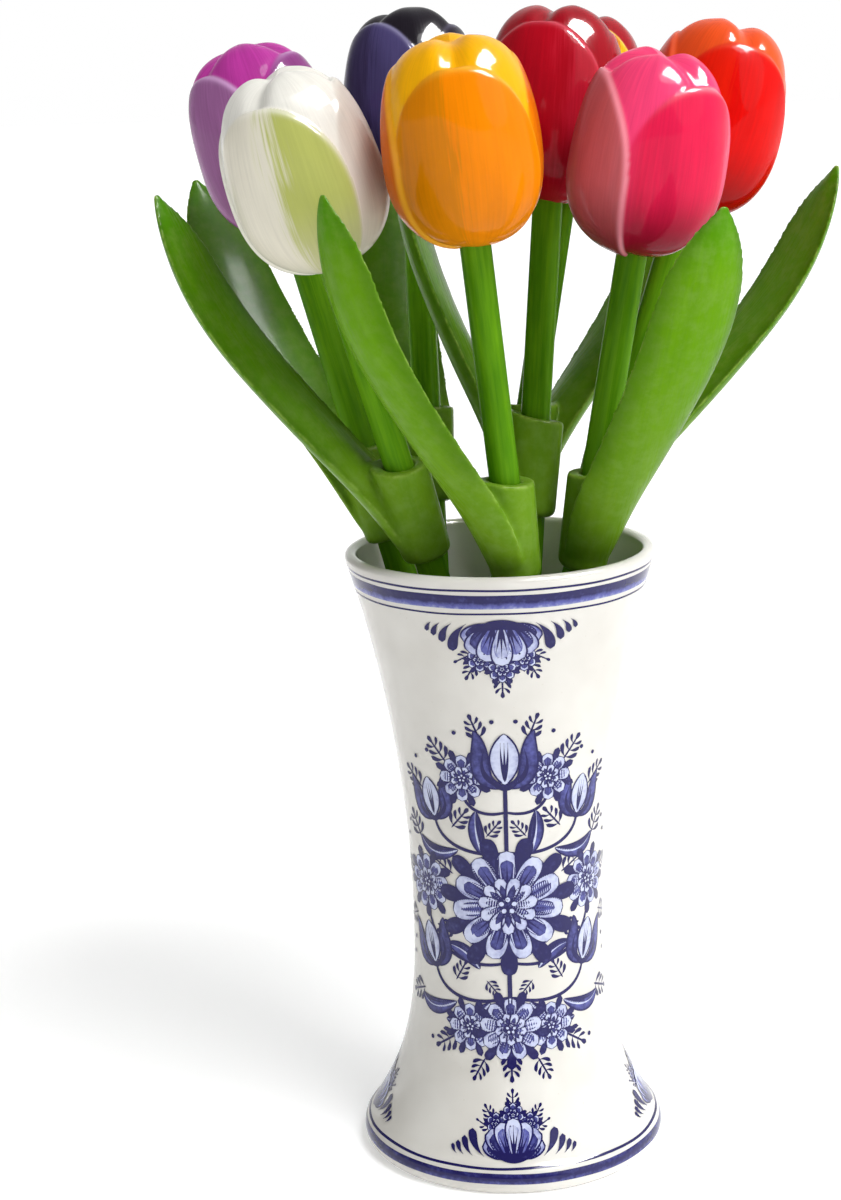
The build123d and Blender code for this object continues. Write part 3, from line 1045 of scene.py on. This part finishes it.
def head_shape(seed):
    """A carved head in its own frame: points, faces and the layers that its paint reads."""
    outline = head_profile()
    run = np.gradient(outline, axis=0)
    normal = np.stack([run[:, 1], -run[:, 0]], axis=1)
    normal /= np.linalg.norm(normal, axis=1, keepdims=True)
    turn = np.arange(HEAD_COLUMNS) * 2 * math.pi / HEAD_COLUMNS
    radius, around = np.meshgrid(outline[:, 0], turn, indexing="ij")
    height = np.repeat(outline[:, 1:], HEAD_COLUMNS, axis=1)

    lift = np.zeros((PETALS, *radius.shape))
    side = np.zeros_like(lift)
    inset = np.zeros_like(lift)
    groove = np.zeros_like(radius)
    above = np.clip((height - PETAL_BROADEST) / (PETAL_HEIGHT - PETAL_BROADEST), 0, None)
    for petal in range(PETALS):
        away = wrapped(around - petal * 2 * math.pi / PETALS)
        side[petal] = away / PETAL_HALF_ANGLE
        spread = np.abs(side[petal]) ** PETAL_ROUNDNESS + above**PETAL_ROUNDNESS
        spread **= 1 / PETAL_ROUNDNESS
        inset[petal] = (1 - spread) * PETAL_HALF_ANGLE * BULB_RADIUS
        proud = 1 - PETAL_TILT + PETAL_TILT * np.clip(side[petal], -1, 1)
        lift[petal] = PETAL_RELIEF * proud * smoothstep(0, PETAL_STEP, inset[petal])
        off_ray = np.where(np.abs(away) < math.pi / 2, radius * np.sin(np.abs(away)), radius)
        groove = np.maximum(groove, np.exp(-((off_ray / GROOVE_WIDTH) ** 2)))
    owner = lift.argmax(0)
    relief = lift.max(0)
    covered = smoothstep(0, 0.3, relief)
    groove *= GROOVE_DEPTH * smoothstep(PETAL_HEIGHT - 7, HEAD_LENGTH - 3, height) * (1 - covered)
    carving = np.zeros_like(radius)
    phases = np.random.default_rng(seed).uniform(0, 2 * math.pi, len(CARVING_WAVES))
    for (waves, depth, lean), phase in zip(CARVING_WAVES, phases):
        carving += depth * np.sin(waves * around + phase + lean * height)
    carving *= CARVING_DEPTH * smoothstep(0, 12, radius)
    out = softened(softened(relief)) - groove + carving
    spin_radius = radius + normal[:, :1] * out
    rise = height + normal[:, 1:] * out

    def chosen(layers):
        return np.take_along_axis(layers, owner[None], 0)[0]

    owner_side = chosen(side)
    line = np.exp(-((chosen(inset) / EDGE_LINE - 0.9) ** 2))
    edge = line * covered * smoothstep(-0.9, 0.2, owner_side)
    layers = {
        "side": np.where(covered > 0.5, owner_side, 0),
        "rise": height / HEAD_LENGTH,
        "edge": softened(edge),
        "across": wrapped(around) * BULB_RADIUS,
        "along": height,
    }
    for petal, letter in enumerate(PETAL_LETTERS):
        layers[f"petal_{letter.lower()}"] = softened(np.where(owner == petal, covered, 0))

    def with_poles(values):
        rows = values[1:-1].reshape(-1, *values.shape[2:])
        return np.concatenate([values[0, :1], rows, values[-1, :1]])

    points = turned(spin_radius, around, rise)
    points[[0, -1], :, :2] = 0
    faces = turned_faces(HEAD_ROWS, HEAD_COLUMNS)
    return with_poles(points), faces, {name: with_poles(values) for name, values in layers.items()}


def make_head(name, stand, seed):
    """One head on its stem."""
    points, faces, layers = head_shape(seed)
    points = points @ stand.head_turn.T + stand.head_seat
    piece = new_piece(f"{name}_bloom", points, faces, layers, head_paint(name, seed))
    settle(piece, f"{name}_tulip", f"{name}_paint", f"{name}_head")


def carved_leaf(name, stand):
    """The leaf's form in its own frame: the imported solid, remeshed and smoothed as if by sandpaper."""
    source = frame["nodes"][f"{name}_leaf"].data.copy()
    turn_back = Matrix(stand.leaf_turn.T.tolist()).to_4x4()
    source.transform(turn_back @ Matrix.Translation(Vector(-stand.leaf_seat * MM)))
    rough = new_object("leaf_blank", source)
    weld = rough.modifiers.new("weld", "WELD")
    weld.merge_threshold = 1e-6
    remesh = rough.modifiers.new("remesh", "REMESH")
    remesh.mode = "VOXEL"
    remesh.voxel_size = LEAF_VOXEL * MM
    bpy.context.view_layer.update()
    mesh = evaluated_mesh(rough)
    bpy.data.objects.remove(rough)
    edges = mesh_array(mesh.edges, "vertices", 2, int)
    points = mesh_array(mesh.vertices, "co", 3)
    for share in (*LEAF_ROUNDING, *LEAF_SANDING):
        points += share * (neighbour_mean(points, edges) - points)
    mesh.vertices.foreach_set("co", points.ravel())
    mesh.update()
    return mesh


def neighbour_mean(values, edges):
    """For each vertex the mean of the rows of values at the vertices that it shares an edge with."""
    near, far = edges.ravel(), edges[:, ::-1].ravel()
    count = len(values)
    total = [np.bincount(near, column[far], count) for column in values.T]
    return np.stack(total, axis=1) / np.maximum(np.bincount(near, minlength=count), 1)[:, None]


def leaf_layers(mesh):
    """Layers that the leaf paint reads: place along and across, the hollow side and the rim, where it
    paints shade, and the ridges, where it paints highlights.
    """
    edges = mesh_array(mesh.edges, "vertices", 2, int)
    points = mesh_array(mesh.vertices, "co", 3) / MM
    normals = mesh_array(mesh.vertices, "normal", 3)
    bulge = ((points - neighbour_mean(points, edges)) * normals).sum(1)
    # Ridges: the convex edges, where the leaf paint lays a painted highlight.
    ridge = smoothstep(0.016, 0.066, bulge)[:, None]
    for _ in range(2):
        ridge = (ridge + neighbour_mean(ridge, edges)) / 2
    off_middle = np.abs(points[:, 1])
    level = np.round(points[:, 2]).astype(int)
    reach = np.zeros(level.max() + 1)
    np.maximum.at(reach, level, off_middle)
    return {
        "rise": points[:, 2] / points[:, 2].max(),
        "along": points[:, 2],
        "across": points[:, 1] + 0.4 * points[:, 0],
        # Inner: the hollow face towards the stem, where the leaf paint lays painted shade.
        "inner": smoothstep(0.1, 0.6, -normals[:, 0]) * smoothstep(25, 45, points[:, 2]),
        "ridge": ridge[:, 0],
        # Rim: near the blade's edges, where the leaf paint lays painted shade.
        "rim": smoothstep(0.5, 1.05, off_middle / reach[level]) * smoothstep(30, 42, points[:, 2]),
    }


def standing(place, turn):
    """Matrix that brings a piece from its own frame to its place, in mm, and its turn."""
    return Matrix.Translation(Vector(place * MM)) @ Matrix(turn.tolist()).to_4x4()


def make_leaf(name, stand, blank, layers, seed, paint):
    """One leaf on its stem."""
    mesh = blank.copy()
    mesh.name = f"{name}_blade"
    mesh.transform(standing(stand.leaf_seat, stand.leaf_turn))
    mesh.shade_smooth()
    add_layers(mesh, {**layers, "seed": np.full(len(mesh.vertices), seed)})
    mesh.materials.clear()
    mesh.materials.append(paint)
    settle(new_object(f"{name}_blade", mesh), f"{name}_tulip", "leaf_green", f"{name}_leaf")


def dowel_tree():
    """Geometry nodes for a dowel with chamfered ends, standing on the origin."""
    make, given, out = new_geometry_tree("dowel", Length=FLOAT, Radius=FLOAT, Chamfer=FLOAT)
    blank = make.add("GeometryNodeMeshCylinder", {
        "Vertices": STEM_SIDES,
        "Side Segments": STEM_RINGS,
        "Fill Segments": STEM_END_RINGS,
        "Radius": given["Radius"],
        "Depth": given["Length"],
    })
    place = make.parts(make.add("GeometryNodeInputPosition").outputs[0])
    half = make.times(given["Length"], 0.5)
    to_end = make.math("SUBTRACT", half, make.math("ABSOLUTE", place[2]))
    cut = make.math("MAXIMUM", make.math("SUBTRACT", given["Chamfer"], to_end), 0.0)
    share = make.math("SUBTRACT", 1.0, make.math("DIVIDE", cut, given["Radius"]))
    moved = make.vector(
        make.times(place[0], share),
        make.times(place[1], share),
        make.math("ADD", place[2], half),
    )
    sockets = {"Geometry": blank.outputs["Mesh"], "Position": moved}
    return finish_tree(make, given, out, make.add("GeometryNodeSetPosition", sockets))


def make_stem(name, stand, tree, seed, paint):
    """One dowel."""
    piece = new_object(f"{name}_dowel", bpy.data.meshes.new(f"{name}_dowel"))
    sizes = {"Length": stand.length * MM, "Radius": STEM_RADIUS * MM, "Chamfer": STEM_CHAMFER * MM}
    apply_nodes(piece, tree, Paint=paint, **sizes)
    mesh = piece.data
    points = mesh_array(mesh.vertices, "co", 3) / MM
    add_layers(mesh, {
        "along": points[:, 2],
        "across": np.arctan2(points[:, 1], points[:, 0]) * STEM_RADIUS,
        "rise": points[:, 2] / stand.length,
        "seed": np.full(len(points), seed),
    })
    mesh.transform(standing(stand.foot, upright(stand.axis, np.array([0.0, 1.0, 0.0]))))
    mesh.set_sharp_from_angle(angle=STEM_SHARP_ANGLE)
    settle(piece, f"{name}_tulip", "stem_green", f"{name}_stem")


def make_tulips():
    """All the tulips: heads, leaves and stems."""
    stands = {name: Stand(name) for name in PETAL_TURN}
    first = next(iter(stands))
    blank = carved_leaf(first, stands[first])
    layers = leaf_layers(blank)
    green = leaf_paint()
    stem_green = stem_paint()
    tree = dowel_tree()
    for seed, (name, stand) in enumerate(stands.items(), 1):
        make_head(name, stand, seed)
        make_leaf(name, stand, blank, layers, seed * LEAF_SEED_STEP, green)
        make_stem(name, stand, tree, seed * STEM_SEED_STEP, stem_green)


# Stage: floor, lights and camera


def make_floor():
    """A plain pale floor."""
    material, make, shader = new_material("pale_floor")
    make.feed(shader, {
        "Base Color": grey(FLOOR_WHITE),
        "Roughness": 0.7,
        "Emission Color": grey(1.0),
        "Emission Strength": FLOOR_GLOW,
    })
    reach = FLOOR_REACH / MM
    corners = [(-reach, -reach, 0), (reach, -reach, 0), (reach, reach, 0), (-reach, reach, 0)]
    floor = new_piece("floor", corners, [(0, 1, 2, 3)], {}, material)


def new_light(name, kind, towards, **settings):
    """A light of a kind, shining from the given way, with its own settings."""
    lamp = bpy.data.lights.new(name, kind)
    for key, value in settings.items():
        setattr(lamp, key, value)
    light = new_object(name, lamp)
    light.rotation_mode = "QUATERNION"
    light.rotation_quaternion = Vector(towards).to_track_quat("Z", "Y")
    return light


def make_light():
    """A soft box over the right shoulder and a window on the right, in a room that is white behind."""
    world = bpy.data.worlds.new("white_room")
    world.use_nodes = True
    make = Tree(world.node_tree)
    way = make.parts(make.add("ShaderNodeTexCoord").outputs["Generated"])
    facing = make.math("MULTIPLY_ADD", way[0], ROOM_TO_RIGHT, way[1])
    room = make.mix(make.band(facing, -0.1, 0.8), grey(ROOM_FRONT), grey(ROOM_BACK))
    seen = make.add("ShaderNodeLightPath").outputs["Is Camera Ray"]
    make.feed(world.node_tree.nodes["Background"], {"Color": make.mix(seen, room, grey(1.0))})
    bpy.context.scene.world = world
    new_light("overhead_box", "SUN", (0.39, -0.42, 0.84), angle=math.radians(24), energy=2.0)
    new_light("window", "SUN", (0.76, -0.56, 0.42), angle=math.radians(50), energy=0.8)
    # A bright panel over the bunch that shows in the gloss only
    to_panel = Vector((0.55, -0.14, 0.80)).normalized()
    sizes = {"shape": "RECTANGLE", "size": 0.75, "size_y": 0.6}
    panel = new_light("gloss_box", "AREA", to_panel, energy=170, **sizes)
    panel.location = HEADS_MIDDLE + to_panel * GLOSS_BOX_DISTANCE
    panel.visible_diffuse = False


def make_camera():
    """The photograph's camera."""
    data = bpy.data.cameras.new("camera")
    data.lens = CAMERA_LENS
    data.sensor_width = SENSOR_LONG_SIDE
    data.clip_start = 0.01
    data.clip_end = 100
    camera = new_object("camera", data)
    camera.matrix_world = (
        Matrix.Translation(CAMERA_PLACE)
        @ Matrix.Rotation(-CAMERA_YAW, 4, "Z")
        @ Matrix.Rotation(math.pi / 2 - CAMERA_PITCH, 4, "X")
        @ Matrix.Rotation(CAMERA_ROLL, 4, "Z")
    )
    bpy.context.scene.camera = camera


make_vase()
make_painting()
make_tulips()
make_floor()
make_light()
make_camera()
bpy.context.scene.view_settings.view_transform = "Standard"
